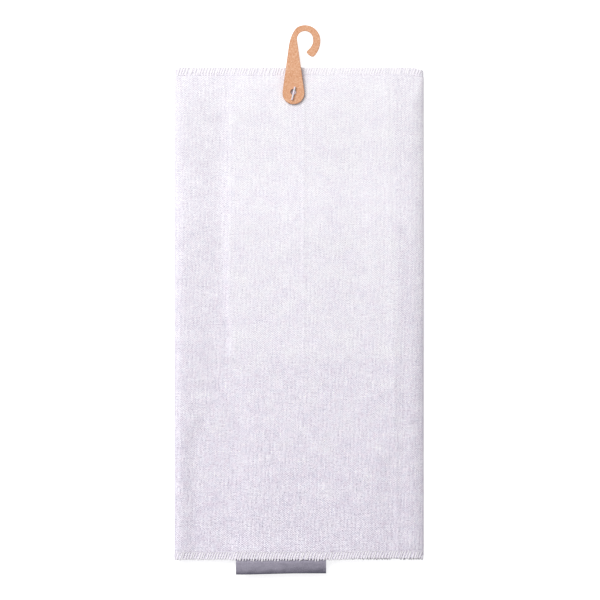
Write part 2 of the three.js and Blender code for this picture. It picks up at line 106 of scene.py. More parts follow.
# Back seam
ALLOWANCE = 0.006
CLIMB = 0.002  # width over which the cloth climbs over the allowance
CLIMB_END = 0.0006  # how far before the seam it is up
ALLOWANCE_POINTS = 5  # points of the cloth's section along the allowance,
TURN_POINTS = 6  # round the turn at the seam,
CLIMB_POINTS = 6  # and up the climb

# Where along the bag a pair of sizes below starts to change from its first to its second, and
# over what length
WHOLE_BAG = (MOUTH, CLOSED - MOUTH)
RIGHT_TOP_CHANGE = (MOUTH, 0.30)
LEFT_SLOPE_CHANGE = (POCKET_LIP - 0.060, 0.035)
RIGHT_SLOPE_CHANGE = (MOUTH, 0.12)
RISE_SHIFT_CHANGE = (-0.020, 0.040)
RISE_WIDTH_CHANGE = (0.030, 0.080)
SEAM_RIDGE_CHANGE = (MOUTH + 0.020, 0.080)
HOLLOW_CHANGE = (0.0, 0.060)

# Side folds: how wide each rolls over, and how far its top stands off the bag's plain height
LEFT_ROLL = (0.0045, 0.0085)
RIGHT_ROLL = (0.0115, 0.0092)
SEWN_ROLL = 0.0025  # both, where the closed end is sewn flat
LEFT_TOP = (0.0005, 0.0001)
RIGHT_TOP = (-0.0021, -0.0001)
# The right fold lies flatter: its outermost line is low
RIGHT_LOW = 0.34  # height of that line, as a share of the fold's
RIGHT_FULLER = (0.042, 0.060, 0.28)  # where it is higher, over what length, by how much
RIGHT_BULGE = 1.65  # how full the fold is above the line, 2 being an ellipse

# How far the front sags
SIDE_SAG = (0.0016, 0.0012)  # left of the pocket, below its lip and beside it
SIDE_WIDTH = 0.020  # width from the pocket's left edge over which that ends
MIDDLE_SAG = 0.0005
POCKET_SAG = 0.0003
LEFT_SLOPE = (0.011, 0.026)  # width of the slope down from the left fold
RIGHT_SLOPE = (0.036, 0.012)  # and from the right one

# How the pocket lifts the front, at its left edge and away from it
LIFT_LEAD = (0.003, 0.045)  # how far below the pocket's lip that starts
LIFT_LENGTH = (0.006, 0.035)  # length over which it rises
LIFT_WIDTH = 0.030  # width from the edge over which both change
RISE_SHIFT = (0.0010, -0.0013)  # the rise over the left edge: how far to the right of it,
RISE_WIDTH = (0.0060, 0.0110)  # and how wide

# Ridges over what lies inside: how far to the right of it, how wide and how high
SEAM_RIDGE = (0.0015, 0.0016)
SEAM_RIDGE_HEIGHT = (0.00025, 0.00011)
SEAM_GROOVE = (-0.0050, 0.0040, -0.00012)
MIDDLE_RIDGE = (0.0005, 0.0016, 0.00020)
LIP_STEP = 0.00012  # over the pocket's lip
LIP_STEP_LENGTH = 0.004

# Where the front sags over the two slots: middle, widths to its left and right, depth
SLOT_HOLLOWS = ((-0.016, 0.020, 0.011, 0.0004), (0.043, 0.018, 0.009, 0.0006))
HOLLOW_SHARE = (0.45, 1.0)  # share of that depth, near the pocket's lip and further in

# Soft waves all over the front: height and size
BROAD_WAVES = (0.00024, 0.030)
SMALL_WAVES = (0.00005, 0.010)
STEADIED = 0.6  # share of them that the pocket leaves
PULLED = (0.010, 0.008)  # width beside the left and right folds where there are none

# Soft creases across the front, from storing it: from, to, width and height
CREASES = (
    ((-0.045, 0.036), (0.036, 0.058), 0.007, 0.00030),
    ((-0.085, -0.083), (-0.040, -0.060), 0.008, 0.00030),
    ((-0.030, 0.112), (0.030, 0.096), 0.006, 0.00018),
    ((0.020, -0.118), (0.085, -0.090), 0.009, 0.00025),
    ((-0.060, -0.128), (0.010, -0.112), 0.009, 0.00020),
)

# Closed end's corners: how far back they lie, and over what width
LEFT_CORNER = (0.0012, 0.004)
RIGHT_CORNER = (0.0016, 0.009)
CORNER_LENGTH = 0.014  # length of the bag over which that ends

# Front lip
RIGHT_DRAW = (0.0009, 0.020, 0.030)  # how far back it lies on the right, from where, width
LABEL_DRAW = 0.0002  # how far back over the label
DRAW_LENGTH = 0.030  # length of the bag over which both end
DRAW_HEIGHT = 0.004  # height above the back cloth over which both begin
LIP_WAVES = (0.0002, 0.022)  # height and size
LIP_OVER_LABEL = -0.0002  # how it lies over the label, off the bag's plain height
LABEL_EDGE = (0.007, 0.012)  # width and length over which it comes down beside the label

# Overlock
STITCH_PITCH = 0.0019
STITCH_SCATTER = 0.00024
STRAND = (0.00112, 0.00046)  # width and depth of its thread
FLAT_STRAND = (0.00138, 0.00038)  # the same where the thread is pressed flat
STRAND_SCATTER = 0.00007
STRAND_SINK = 0.00008  # how far the thread sinks into the cloth
NEEDLE_INSET = 0.0004  # from the strands' ends to the overlock's inner edge
NEEDLE_ROW = 0.0002  # from the strands' ends to the row of needle stitches
NEEDLE_THREAD = (0.00042, 0.00030)
NEEDLE_ARCH = (-0.0002, 0.0004)  # how high its stitches lie, at their ends and in their middle
SQUEEZE = 0.0003  # how much it squeezes the cloth
SQUEEZE_EDGE = 0.0009  # width over which that ends
LIP_INSET = 0.0009  # how far it draws the mouth's edge in
EDGE_ROWS = np.arange(0.0002, 0.0075, 0.0006)  # close rows of points under it
EDGE_ROWS_END = 0.0078

# Label
LABEL_CREEP = (0.0009, 0.048)  # how much shorter it hangs to the right, and over what width
LABEL_CURL = (0.00015, 0.020)  # height and size
CREASE_REACH = (0.0019, 0.0042)  # how wide the painted shade at its crease reaches, on the left and the right

# Where the side folds open out as the front lifts
FOLD_FLOOR = ALLOWANCE_FLOOR + ALLOWANCE_HEIGHT + LAYER_GAP
FOLD_BAND = 0.0012  # height of the band that bends

# Weave: spacing of the warp and weft yarns. Real ones are about 0.5 mm apart, too fine to show,
# and are drawn this coarse
WARP_PITCH = 0.00095
WEFT_PITCH = 0.00071

# How the layers behind show through the front, painted into its colour as light and shade
BACKED_EDGE = 0.002  # width over which their edges blur
BACKED_BELOW = 0.3  # share that still shows below the pocket's lip
BACKED_FADE = (0.100, 0.060)  # how far below the lip that starts, and over what length
BACKED_SIDE = 0.012  # width from the pocket's left edge over which it starts

UP = (0.0, 0.0, 1.0)

# Camera, lamp and room light
CAMERA_HEIGHT = 2.5
FRAME_WIDTH = 0.4267
FRAME_CENTRE = (0.00064, 0.00999)
SENSOR = 36.0
LAMP = (-0.90, 1.00, 1.45)
LAMP_SIZE = 1.30
LAMP_SHARE = 0.635
ROOM_LIGHT = 0.42
FLOOR_LIFT = 0.74  # light of its own that the floor shows to the camera


def smooth(value):
    share = np.clip(value, 0, 1)
    return share * share * (3 - 2 * share)


def mix(a, b, share):
    return a + (b - a) * share


def bump(value, width):
    return np.exp(-((value / width) ** 2))


def stacked(*columns):
    """Points from their coordinates, each an array or one number for all of them."""
    return np.stack(np.broadcast_arrays(*columns), axis=-1)


def unit(vectors):
    return vectors / np.linalg.norm(vectors, axis=-1, keepdims=True)


def ripples(x, y, waves, seed):
    """Soft random waves at each place, of a height and about one size."""
    height, size = waves
    x, y = np.broadcast_arrays(x, y)
    places = zip(np.ravel(x), np.ravel(y))
    found = [noise.noise(Vector((a / size, b / size, seed))) for a, b in places]
    return height * np.array(found).reshape(x.shape)


def shallow_share(y):
    return smooth((y - SHALLOW_Y + SHALLOW_SLOPE) / SHALLOW_SLOPE)


def bag_height(y):
    curve = np.clip((SHEET_END - y) / END_CURVE, 0, 1)
    end_drop = (SHALLOW_HEIGHT - SEWN_HEIGHT) * (1 - np.sin(curve * math.pi / 2))
    return mix(BAG_HEIGHT, SHALLOW_HEIGHT, shallow_share(y)) - end_drop


def along_bag(y, sizes, change=WHOLE_BAG):
    """The first of two sizes up to a place along the bag, the second a length further on."""
    place, length = change
    return mix(*sizes, smooth((y - place) / length))


def open_share(y):
    """0 where the closed end is sewn flat, 1 a little way in from there."""
    return smooth((sewn_low.y - y) / PRESSED_LENGTH)


def seam_x(y):
    at_mouth = allowance_high.x - ALLOWANCE
    share = (y - allowance_low.y) / (allowance_high.y - allowance_low.y)
    return mix(at_mouth, allowance_low.x, share)


def fold_forms(y):
    """For the left and the right fold: how wide it rolls over, and how far its top is off."""
    opened = open_share(y)
    tops = along_bag(y, LEFT_TOP), along_bag(y, RIGHT_TOP, RIGHT_TOP_CHANGE)
    return [(mix(SEWN_ROLL, along_bag(y, roll), opened), top * opened)
            for roll, top in zip((LEFT_ROLL, RIGHT_ROLL), tops)]


def beside_pocket(y, edge):
    """1 from the pocket's lip on, 0 below it, with a soft edge."""
    return smooth((y - POCKET_LIP + edge / 2) / edge)


def backed_share(x, y):
    """1 where the pocket or the back seam lies close under the front, less below the lip. The
    cloth's finish paints it as light that shows through.
    """
    right = seam_x(y) + ALLOWANCE
    across = smooth((x - POCKET_LEFT) / BACKED_EDGE + 0.5)
    across = across * smooth((right - x) / BACKED_EDGE + 0.5)
    start, length = BACKED_FADE
    below = BACKED_BELOW * smooth((y - POCKET_LIP + start) / length)
    below = below * smooth((x - POCKET_LEFT) / BACKED_SIDE)
    return across * mix(below, 1.0, beside_pocket(y, BACKED_EDGE))


def over_label(x, edge=0.002):
    """1 where the label is sewn in, 0 elsewhere, with soft edges."""
    from_ends = np.minimum(x - label_low.x, label_high.x - x)
    return smooth((from_ends + edge * 0.8) / edge)


def near_line(x, y, start, end, width):
    """1 along a line, fading over a width beside it and towards its ends."""
    (x0, y0), (x1, y1) = start, end
    long = math.hypot(x1 - x0, y1 - y0)
    along = ((x - x0) * (x1 - x0) + (y - y0) * (y1 - y0)) / long
    beside = ((y - y0) * (x1 - x0) - (x - x0) * (y1 - y0)) / long
    # It sways by half its width, and fades over a third of its length at both ends
    sway = 0.5 * width * np.sin(0.7 * along / width)
    ends = smooth(3 * along / long) * smooth(3 * (long - along) / long)
    return bump(beside + sway, width) * ends


def ridge(from_line, shift, width, height):
    return height * bump(from_line - shift, width)


def ridges(x, y, plateau):
    """Faint ridges in the front over the back seam, the pocket's middle seam and its lip."""
    from_seam = x - seam_x(y)
    height = along_bag(y, SEAM_RIDGE_HEIGHT, SEAM_RIDGE_CHANGE)
    raised = ridge(from_seam, *SEAM_RIDGE, height) + ridge(from_seam, *SEAM_GROOVE)
    raised = raised + ridge(x - POCKET_MIDDLE, *MIDDLE_RIDGE) * plateau
    return raised + LIP_STEP * beside_pocket(y, LIP_STEP_LENGTH) * plateau


def relief(x, y):
    """How far the front stands off its plain height, with its sags, ridges, creases and waves."""
    (left_roll, left_top), (right_roll, right_top) = fold_forms(y)
    from_left = x - LEFT - left_roll
    from_right = RIGHT - right_roll - x
    opened = open_share(y)
    # Away from its left edge, the pocket still lifts the front a little way below its lip
    away = smooth((x - POCKET_LEFT) / LIFT_WIDTH)
    lifted = smooth((y - POCKET_LIP + mix(*LIFT_LEAD, away)) / mix(*LIFT_LENGTH, away))
    side = 1 - smooth((x - POCKET_LEFT) / SIDE_WIDTH)
    low = mix(MIDDLE_SAG, mix(*SIDE_SAG, lifted), side) * opened
    left_part = 1 - smooth(from_left / along_bag(y, LEFT_SLOPE, LEFT_SLOPE_CHANGE))
    right_part = 1 - smooth(from_right / along_bag(y, RIGHT_SLOPE, RIGHT_SLOPE_CHANGE))
    folds = (left_top + low) * left_part + (right_top + low) * right_part
    rise_x = POCKET_LEFT + along_bag(y, RISE_SHIFT, RISE_SHIFT_CHANGE)
    rise = smooth((x - rise_x) / along_bag(y, RISE_WIDTH, RISE_WIDTH_CHANGE) + 0.5)
    plateau = lifted * rise * (1 - right_part)
    detail = ridges(x, y, plateau)
    slack = along_bag(y, HOLLOW_SHARE, HOLLOW_CHANGE) * plateau * opened
    for middle, left, right, depth in SLOT_HOLLOWS:
        detail = detail - depth * bump(x - middle, np.where(x < middle, left, right)) * slack
    for start, end, width, height in CREASES:
        detail = detail + height * near_line(x, y, start, end, width)
    broad = ripples(x * 0.6 + y * 0.2, y, BROAD_WAVES, 3.7)
    waved = broad + ripples(x, y, SMALL_WAVES, 8.2)
    detail = detail + waved * mix(1.0, STEADIED, plateau)
    detail = detail * smooth(from_left / PULLED[0]) * smooth(from_right / PULLED[1])
    lie = folds - low + (low - POCKET_SAG * opened) * plateau + detail
    # The label's sewn-in ends hold the front lip up
    width, length = LABEL_EDGE
    held_up = over_label(x, width) * (1 - smooth((y - tail_high.y) / length))
    return mix(lie, LIP_OVER_LABEL, held_up)


def settle(points):
    """How the bag's outline really lies: the sewing rounds its corners at the closed end, and
    the front lip draws back a little over the label and on the right."""
    x, y, z = points[..., 0], points[..., 1], points[..., 2]
    near_end = smooth((y - CLOSED) / CORNER_LENGTH + 1)
    corners = 0
    for (back, width), from_side in ((LEFT_CORNER, x - LEFT), (RIGHT_CORNER, RIGHT - x)):
        corners = corners + back * (1 - smooth(from_side / width))
    near_mouth = 1 - smooth((y - MOUTH) / DRAW_LENGTH)
    above = smooth((z - CLOTH) / DRAW_HEIGHT)
    back, start, width = RIGHT_DRAW
    drawn = (back * smooth((x - start) / width) + LABEL_DRAW * over_label(x)) * above
    drawn = drawn + ripples(x, z * 2, LIP_WAVES, 5.1)
    moved = y - near_end * corners + near_mouth * drawn
    return stacked(x, moved, z)


def span(start, end, steps):
    """Even steps from start to end, without start itself."""
    return start + (end - start) * np.arange(1, steps + 1) / steps


def crowded(start, end, steps, places, width):
    """Steps from start to end, without start itself, four times as close round some places."""
    line = np.linspace(start, end, 1500)
    gone = np.cumsum(1 + 3 * sum(bump(line - place, width) for place in places))
    return np.interp(span(gone[0], gone[-1], steps), gone, line)


def arc(centre, size, turn, steps, bulge=2.0):
    """Points on a part of an ellipse, without the first. Under 2, its bulge is flatter."""
    angle = np.radians(span(*turn, steps))
    across, up = np.cos(angle), np.sin(angle)
    across = np.sign(across) * np.abs(across) ** (2 / bulge)
    up = np.sign(up) * np.abs(up) ** (2 / bulge)
    return centre[0] + size[0] * across, centre[1] + size[1] * up


def lengths(path):
    """Distance along a path of points, or along each of many, at every point."""
    steps = np.linalg.norm(np.diff(path, axis=-2), axis=-1)
    return np.concatenate([0 * steps[..., :1], np.cumsum(steps, axis=-1)], axis=-1)


def at_lengths(path, values, places):
    """A path's values, at any distances along it."""
    along = lengths(path)
    return np.stack([np.interp(places, along, column) for column in values.T], axis=-1)


def wrapped_section(y):
    """The body cloth's section from one raw edge round to the other, both flat inside the back:
    the points of its middle and its thickness there."""
    seam = float(seam_x(y))
    height = float(bag_height(y))
    (left_roll, left_top), (right_roll, right_top) = fold_forms(y)
    under = CLOTH / 2
    layer = min(ALLOWANCE_HEIGHT, height - 2 * CLOTH - 2 * LAYER_GAP) / 2
    low = ALLOWANCE_FLOOR + layer / 2
    high = low + layer
    left_inner, right_inner = LEFT + left_roll, RIGHT - right_roll
    fine = (seam + SEAM_RIDGE[0], POCKET_MIDDLE, POCKET_LEFT)
    front_x = crowded(right_inner, left_inner, 112, fine, 0.005)
    left_half = (height + left_top - CLOTH) / 2
    right_rise = height + right_top - CLOTH
    fuller_y, fuller_width, fuller = RIGHT_FULLER
    low_share = RIGHT_LOW + fuller * bump(y - fuller_y, fuller_width)
    low_share = float(mix(0.5, low_share, open_share(y)))
    right_middle = (right_inner, under + right_rise * low_share)
    turn = (low - under) / 2
    share = span(0, 1, CLIMB_POINTS)
    flat = np.ones(ALLOWANCE_POINTS)
    parts = [
        (seam + ALLOWANCE * np.linspace(1, 0, ALLOWANCE_POINTS), low * flat),
        arc((seam, under + turn), (turn, turn), (90, 270), TURN_POINTS),
        (span(seam, right_inner, 10), np.full(10, under)),
        arc(right_middle, (right_roll - under, right_rise * low_share), (-90, 0), 8),
        arc(right_middle, (right_roll - under, right_rise * (1 - low_share)), (0, 90), 14,
            RIGHT_BULGE),
        (front_x, height - under + relief(front_x, y)),
        arc((left_inner, under + left_half), (left_roll - under, left_half), (90, 270), 20),
        (span(left_inner, seam - CLIMB - CLIMB_END, 36), np.full(36, under)),
        (seam - CLIMB_END - CLIMB * (1 - share), mix(under, high, smooth(share))),
        (span(seam - CLIMB_END, seam + ALLOWANCE, ALLOWANCE_POINTS), high * flat),
    ]
    x = np.hstack([part[0] for part in parts])
    z = np.hstack([part[1] for part in parts])
    thickness = np.full(len(x), CLOTH)
    thickness[:ALLOWANCE_POINTS] = thickness[-ALLOWANCE_POINTS:] = layer
    return stacked(x, z), thickness


def outward(path):
    """Unit normals to the right of a path of (across, up) points."""
    along = unit(np.gradient(path, axis=0))
    return stacked(along[:, 1], -along[:, 0])


def squeezed(from_edge):
    """How far an overlock presses a cloth's face in, by distance from its raw edge."""
    return SQUEEZE * (1 - smooth((from_edge - OVERLOCK) / SQUEEZE_EDGE + 2 / 3))


def placed(name, data):
    """A new object of the scene from a mesh, a lamp or a camera."""
    thing = bpy.data.objects.new(name, data)
    bpy.context.scene.collection.objects.link(thing)
    return thing


def finished(mesh, finish, sharp):
    """A piece from its mesh, smooth apart from edges over an angle."""
    mesh.shade_smooth()
    mesh.set_sharp_from_angle(angle=math.radians(sharp))
    mesh.materials.append(finish)
    piece = placed(mesh.name, mesh)
    return piece


def add_mesh(name, made, finish):
    """A piece from its points, its faces and the coordinates that its weave or twist follows."""
    points, faces, place = made
    mesh = bpy.data.meshes.new(name)
    mesh.from_pydata(points.tolist(), [], faces)
    turned = bmesh.new()
    turned.from_mesh(mesh)
    bmesh.ops.recalc_face_normals(turned, faces=turned.faces)
    turned.to_mesh(mesh)
    turned.free()
    held = mesh.attributes.new("thread_place", "FLOAT_VECTOR", "POINT")
    held.data.foreach_set("vector", place.astype(np.float32).ravel())
    return finished(mesh, finish, 50)


def add_share(piece, name, values):
    """A value from 0 to 1 over both faces of a sheet, for its material."""
    held = piece.data.attributes.new(name, "FLOAT", "POINT")
    held.data.foreach_set("value", np.tile(np.ravel(values), 2).astype(np.float32))


def sheet_mesh(outer, inner, place):
    """Points, faces and thread places of a sheet between two grids of points."""
    rows, columns = outer.shape[:2]
    under = rows * columns
    index = np.arange(under).reshape(rows, columns)
    quads = stacked(index[:-1, :-1], index[:-1, 1:], index[1:, 1:], index[1:, :-1]).reshape(-1, 4)
    rim = np.hstack([index[0], index[1:, -1], index[-1, -2::-1], index[-2:0:-1, 0]])
    ahead = np.roll(rim, -1)
    edges = stacked(ahead, rim, rim + under, ahead + under)
    faces = [*quads.tolist(), *(quads[:, ::-1] + under).tolist(), *edges.tolist()]
    points = np.concatenate([outer, inner]).reshape(-1, 3)
    return points, faces, np.tile(place.reshape(-1, 3), (2, 1))


def thread_mesh(paths, normals, widths, depths, sides=8):
    """Points, faces and thread places of flattened strands along many paths."""
    count, steps = paths.shape[:2]
    along = unit(np.gradient(paths, axis=1))
    across = unit(np.cross(along, normals))
    up = np.cross(across, along)
    turn = np.arange(sides) * 2 * math.pi / sides
    width = np.broadcast_to(widths, (count, steps))[..., None, None] / 2
    depth = np.broadcast_to(depths, (count, steps))[..., None, None] / 2
    ring = across[:, :, None] * np.cos(turn)[:, None] * width
    ring = ring + up[:, :, None] * np.sin(turn)[:, None] * depth
    points = (paths[:, :, None] + ring).reshape(-1, 3)
    index = np.arange(count * steps * sides).reshape(count, steps, sides)
    near, far = index[:, :-1], index[:, 1:]
    quads = stacked(near, np.roll(near, -1, 2), np.roll(far, -1, 2), far)
    faces = quads.reshape(-1, 4).tolist()
    faces += index[:, 0].tolist() + index[:, -1, ::-1].tolist()
    place = stacked(lengths(paths)[..., None], turn / (2 * math.pi),
                    np.arange(count)[:, None, None])
    return points, faces, place.reshape(-1, 3)


def joined(first, second):
    """Two sets of points, faces and thread places as one."""
    shifted = [[corner + len(first[0]) for corner in face] for face in second[1]]
    return (np.concatenate([first[0], second[0]]), first[1] + shifted,
            np.concatenate([first[2], second[2]]))


def overlock(edge, ups, inward, half, seed, loops, pitch=STITCH_PITCH, strand=STRAND):
    """An overlock along a raw edge. ups are the cloth's normals there, half is half its thickness
    and loops how far the strands reach past the edge. Each strand leaves the needle line, leans
    one stitch forward across the face, loops over the edge and runs back on the other face.
    Short stitches follow the needle line."""
    rng = np.random.default_rng(seed)
    width, depth = strand
    run = lengths(edge)[-1]
    count = int((run - pitch) / pitch)
    starts = (run - pitch * (count - 1)) / 2 + pitch * np.arange(count)
    starts = (starts + rng.normal(0, STITCH_SCATTER, count))[:, None]
    needle = OVERLOCK - NEEDLE_INSET
    # Points of a strand: across the face, over the edge, and back on the other face
    face = np.linspace(0, 1, 9)
    over = np.radians(np.linspace(90, -90, 7)[1:-1])
    flat, level = 0 * face, 0 * over
    inset = np.hstack([needle * (1 - face), level, needle * face])
    bulge = np.hstack([flat[1:], [0.6], np.cos(over) * 0.4 + 0.6, [0.6], flat[1:]])
    # Columns 0 to 2 are the edge's points, 3 to 5 its normals, 6 half and 7 loops
    known = stacked(*edge.T, *np.transpose(ups), half, loops)
    reach = rng.uniform(0.2, 1.0, (count, 1)) * at_lengths(edge, known, starts)[..., 7]
    side = np.hstack([flat + 1, np.sin(over), flat - 1])
    # 0 at the needle line, where a strand dives into the cloth, thinner and lower, and 1 beyond
    dive = np.hstack([smooth(face * 6), level + 1, smooth((1 - face) * 6)])
    shift = pitch * np.hstack([face - 0.5, level + 0.5, flat + 0.5])
    places = starts + shift + rng.normal(0, STRAND_SCATTER, (count, len(shift)))
    found = at_lengths(edge, known, places)
    tops, lift = unit(found[..., 3:6]), found[..., 6] + depth / 2 - STRAND_SINK
    paths = found[..., :3] + inward * (inset - bulge * reach)[..., None]
    paths = paths + tops * (lift * side * mix(0.55, 1.0, dive))[..., None]
    outer = np.hstack([flat, np.cos(over), flat])
    normals = tops * side[:, None] - inward * outer[:, None]
    widths = width * mix(0.7, 1.0, dive) * rng.uniform(0.75, 1.15, (count, 1))
    strands = thread_mesh(settle(paths), normals, widths, depth * mix(0.8, 1.0, dive))
    # Needle stitches, one for each strand, that arch out of the cloth and dive into it again
    places = starts + pitch * np.linspace(-0.46, 0.46, 7)
    arch = 1 - np.linspace(-1, 1, 7) ** 4
    found = at_lengths(edge, known, places)
    tops, lift = found[..., 3:6], found[..., 6] + mix(*NEEDLE_ARCH, arch)
    paths = found[..., :3] + inward * (needle - NEEDLE_ROW) + tops * lift[..., None]
    needle_row = thread_mesh(settle(paths), tops, *NEEDLE_THREAD, sides=6)
    return joined(strands, needle_row)


# Finishes

def colour(hex_value):
    """sRGB hex to the linear colour that the shaders take."""
    parts = [int(hex_value[k : k + 2], 16) / 255 for k in (1, 3, 5)]
    linear = [p / 12.92 if p <= 0.04045 else ((p + 0.055) / 1.055) ** 2.4 for p in parts]
    return (*linear, 1.0)


def add_node(tree, kind, inputs=None, stops=(), **settings):
    """Adds a node. inputs holds values, or sockets or nodes to link, by socket, and stops the
    places and hex colours of a colour ramp, from first to last."""
    made = tree.nodes.new("ShaderNode" + kind)
    for name, value in settings.items():
        setattr(made, name, value)
    for socket, value in (inputs or {}).items():
        if isinstance(value, bpy.types.Node):
            value = value.outputs[0]
        if isinstance(value, bpy.types.NodeSocket):
            tree.links.new(value, made.inputs[socket])
        else:
            made.inputs[socket].default_value = value
    for place, hex_value in stops:
        points = made.color_ramp.elements
        ends = {stops[0][0]: points[0], stops[-1][0]: points[-1]}
        point = ends[place] if place in ends else points.new(place)
        point.position = place
        point.color = colour(hex_value)
    return made


def new_finish(name, roughness, gloss, more=()):
    """A material, its node tree and its Principled shader. more holds further plain values."""
    made = bpy.data.materials.new(name)
    made.use_nodes = True
    shader = made.node_tree.nodes["Principled BSDF"]
    for socket, value in [("Roughness", roughness), ("Specular IOR Level", gloss), *more]:
        shader.inputs[socket].default_value = value
    return made, made.node_tree, shader


def add_up(tree, start, shares):
    """A start value plus each pattern, less its middle value, times its share."""
    total = start
    for value, middle, share in shares:
        around = add_node(tree, "Math", {0: value, 1: middle}, operation="SUBTRACT")
        total = add_node(tree, "Math", {0: around, 1: share, 2: total}, operation="MULTIPLY_ADD")
    return total


def find_thread(tree):
    """The place along and across the threads, whole and by axis."""
    place = add_node(tree, "Attribute", attribute_name="thread_place").outputs["Vector"]
    return place, add_node(tree, "SeparateXYZ", {"Vector": place}).outputs


def wave(tree, value, length):
    """Even waves of a value, each as long as length."""
    turn = add_node(tree, "Math", {0: value, 1: 2 * math.pi / length}, operation="MULTIPLY")
    return add_node(tree, "Math", {0: turn}, operation="SINE")


def crossed_waves(tree, axes, across, along):
    """Waves across a cloth times waves along it."""
    return add_node(tree, "Math", {0: wave(tree, axes["X"], across),
                                   1: wave(tree, axes["Y"], along)}, operation="MULTIPLY")


def blotches(tree, place, across, along, seed, detail):
    """Noise whose blotches are across wide and along long."""
    scaled = add_node(tree, "VectorMath", {0: place, 1: (1 / across, 1 / along, 1)},
                      operation="MULTIPLY")
    moved = add_node(tree, "VectorMath", {0: scaled, 1: (seed, seed, seed)}, operation="ADD")
    return add_node(tree, "TexNoise", {"Vector": moved, "Scale": 1.0, "Detail": detail})


def finish_with(tree, shader, tint, height, depth, strength):
    """Gives a shader its colour and raises it by a height."""
    normal = add_node(tree, "Bump", {"Strength": strength, "Distance": depth, "Height": height})
    tree.links.new(tint.outputs["Color"], shader.inputs["Base Color"])
    tree.links.new(normal.outputs["Normal"], shader.inputs["Normal"])


def plain_weave(name):
    """Undyed cotton and linen, plain woven from slubby yarn and washed: matt and faintly fuzzy,
    with thick and thin yarns, fine dark specks and an uneven lilac whiteness."""
    fuzzy = [("Sheen Weight", 0.12), ("Sheen Roughness", 0.6)]
    finish, tree, shader = new_finish(name, 0.92, 0.2, fuzzy)
    place, straight = find_thread(tree)
    along = straight["Y"]
    wander = add_node(tree, "TexNoise", {"Vector": place, "Scale": 1 / 0.009, "Detail": 2.0})
    sway = add_node(tree, "VectorMath", {0: wander.outputs["Color"], 1: (0.5, 0.5, 0.5)},
                    operation="SUBTRACT")
    swayed = add_node(tree, "VectorMath", {0: sway, 1: (0.0020, 0.0018, 0.0), 2: place},
                      operation="MULTIPLY_ADD")
    axes = add_node(tree, "SeparateXYZ", {"Vector": swayed}).outputs
    # Above 0 the warp is on top, below 0 the weft, and at 0 there is a gap between yarns
    crossing = crossed_waves(tree, axes, 2 * WARP_PITCH, 2 * WEFT_PITCH)
    crest = add_node(tree, "Math", {0: crossing}, operation="ABSOLUTE")
    height = add_node(tree, "Math", {0: crest, 1: 0.5}, operation="POWER")
    # Warp floats are lighter than weft floats, part yarn tone and part painted light on floats
    # that
    #     lie different ways, more in some places than in others
    clear = blotches(tree, place, 0.004, 0.004, 83.0, 1.0)
    float_tone_and_light = add_node(tree, "Math", {0: crossing, 1: clear}, operation="MULTIPLY")
    # Thick and thin stretches of single yarns, about 9 mm long, and loose fibres between them,
    # which are finer than 0.1 mm and drawn at 1 mm
    warp_slub = blotches(tree, swayed, 0.0008, 0.009, 3.0, 0.0)
    weft_slub = blotches(tree, swayed, 0.008, 0.0007, 17.0, 0.0)
    fuzz = blotches(tree, place, 0.0010, 0.0010, 31.0, 0.0)
    # Every third warp yarn stands out a little, as a fine rib along the bag
    rib = wave(tree, axes["X"], 3 * WARP_PITCH)
    # Specks of seed husk, 0.3 mm on the real cloth, are drawn at 1 mm
    specks = blotches(tree, place, 0.0010, 0.0010, 59.0, 0.0)
    speck = add_node(tree, "MapRange", {"Value": specks, "From Min": 0.60, "From Max": 0.72},
                     interpolation_type="SMOOTHSTEP")
    blotch = blotches(tree, place, 0.013, 0.011, 47.0, 1.0)
    mottle = blotches(tree, place, 0.0035, 0.0035, 71.0, 2.0)
    # Painted light and shade: the pocket's white cloth close behind shows through the thin front
    # as a
    #     whiter tone and a fainter weave, and the hollow elsewhere as a darker tone
    backed = add_node(tree, "Attribute", attribute_name="backed").outputs["Fac"]
    tone = add_up(tree, 0.43, [(blotch, 0.5, 0.75), (backed, 0.0, 0.27)])
    tint = add_node(tree, "ValToRGB", {"Fac": tone},
                    stops=[(0.0, "#e2dbea"), (0.5, "#eee9f4"), (1.0, "#f5f3f8")])
    pattern = add_up(tree, 0.0, [
        (float_tone_and_light, 0.0, 0.38),
        # Painted light on the yarns' crests and painted shade in the gaps between them
        (height, 0.62, 0.10),
        (rib, 0.0, 0.026),
        (warp_slub, 0.5, 0.24),
        (weft_slub, 0.5, 0.20),
        (fuzz, 0.5, 0.46),
        (speck, 0.1, -0.17),
    ])
    # The weave's contrast falls from the mouth towards the closed end
    contrast_along_bag = add_node(tree, "MapRange", {"Value": along, "From Min": -0.18, "From Max": 0.18,
                                        "To Min": 1.22, "To Max": 0.60})
    contrast = add_up(tree, contrast_along_bag, [(backed, 0.0, -0.15)])
    light = add_node(tree, "Math", {0: pattern, 1: contrast, 2: 1.0}, operation="MULTIPLY_ADD")
    hue = add_up(tree, 0.5, [(mottle, 0.5, 0.16)])
    # Painted shade tint: more lilac towards the mouth, where less light falls, and on yarns
    # painted
    #     darker; whiter towards the closed end
    lilac = add_node(tree, "MapRange", {"Value": along, "From Min": -0.14, "From Max": 0.16,
                                        "To Min": 1.15, "To Max": 0.70})
    lilac = add_up(tree, lilac, [(backed, 0.0, 0.12), (pattern, 0.0, -1.7)])
    woven = add_node(tree, "HueSaturation",
                     {"Hue": hue, "Saturation": lilac, "Value": light, "Color": tint})
    raised = add_up(tree, 0.0, [
        (height, 0.0, 1.0),
        (warp_slub, 0.5, 0.5),
        (weft_slub, 0.5, 0.5),
    ])
    finish_with(tree, shader, woven, raised, 0.00012, 0.6)
    return finish


